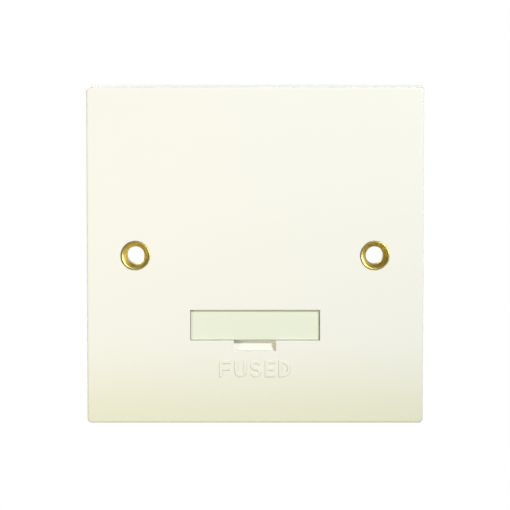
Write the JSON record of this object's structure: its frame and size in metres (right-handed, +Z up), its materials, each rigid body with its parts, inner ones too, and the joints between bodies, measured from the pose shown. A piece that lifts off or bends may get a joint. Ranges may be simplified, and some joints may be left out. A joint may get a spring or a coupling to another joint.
{
  "type": "fused spur unit",
  "caption": "square cream wall plate with a pull-out fuse carrier, brass-lined fixing holes and a rear moulding of brass wiring terminals",
  "frame": {"origin": "middle of the line between the two fixing holes, on the wall plane at the rear rim of the faceplate", "axes": "+X to the right seen from the front, +Y back into the wall, +Z up"},
  "size_m": [0.086, 0.0243, 0.086],
  "materials": {
    "plate_plastic": "moulded, semi-gloss ivory cream",
    "carrier_plastic": "moulded, satin cream",
    "rear_plastic": "moulded, satin grey cream",
    "brass": "machined and stamped, lightly tarnished",
    "screw_brass": "turned, slotted",
    "spring_bronze": "rolled strip",
    "zinc_steel": "zinc plated",
    "ceramic": "unglazed ceramic",
    "plated_cap": "nickel plated",
    "fuse_wire_metal": "drawn wire",
    "fuse_sand": "packed sand"
  },
  "bodies": {
    "unit": {"faceplate": "plate_plastic", "left_eyelet": "brass", "right_eyelet": "brass", "earth_strap": "brass", "left_earth_terminal": "brass", "right_earth_terminal": "brass", "rear_base": "rear_plastic", "base_screws": "zinc_steel", "neutral_link": "brass", "neutral_feed_terminal": "brass", "neutral_load_terminal": "brass", "line_feed_terminal": "brass", "line_load_terminal": "brass", "line_feed_clip": "spring_bronze", "line_load_clip": "spring_bronze", "fuse_cover": "rear_plastic"},
    "carrier": {"fuse_carrier": "carrier_plastic", "fuse_barrel": "ceramic", "fuse_left_cap": "plated_cap", "fuse_right_cap": "plated_cap", "fuse_wire": "fuse_wire_metal", "fuse_filling": "fuse_sand"},
    "left_earth_clamp": {"left_earth_screw": "screw_brass"},
    "right_earth_clamp": {"right_earth_screw": "screw_brass"},
    "neutral_feed_clamp": {"neutral_feed_screw": "screw_brass"},
    "neutral_load_clamp": {"neutral_load_screw": "screw_brass"},
    "line_feed_clamp": {"line_feed_screw": "screw_brass"},
    "line_load_clamp": {"line_load_screw": "screw_brass"}
  },
  "joints": [
    {"name": "carrier_pull", "type": "slide", "parent": "unit", "child": "carrier", "axis": [0, -1, 0], "range_m": [0, 0.0163]},
    {"name": "left_earth_clamping", "type": "slide", "parent": "unit", "child": "left_earth_clamp", "axis": [0, -1, 0], "range_m": [0, 0.0031]},
    {"name": "right_earth_clamping", "type": "slide", "parent": "unit", "child": "right_earth_clamp", "axis": [0, -1, 0], "range_m": [0, 0.0031]},
    {"name": "neutral_feed_clamping", "type": "slide", "parent": "unit", "child": "neutral_feed_clamp", "axis": [0, -1, 0], "range_m": [0, 0.0031]},
    {"name": "neutral_load_clamping", "type": "slide", "parent": "unit", "child": "neutral_load_clamp", "axis": [0, -1, 0], "range_m": [0, 0.0031]},
    {"name": "line_feed_clamping", "type": "slide", "parent": "unit", "child": "line_feed_clamp", "axis": [0, -1, 0], "range_m": [0, 0.0031]},
    {"name": "line_load_clamping", "type": "slide", "parent": "unit", "child": "line_load_clamp", "axis": [0, -1, 0], "range_m": [0, 0.0031]}
  ]
}
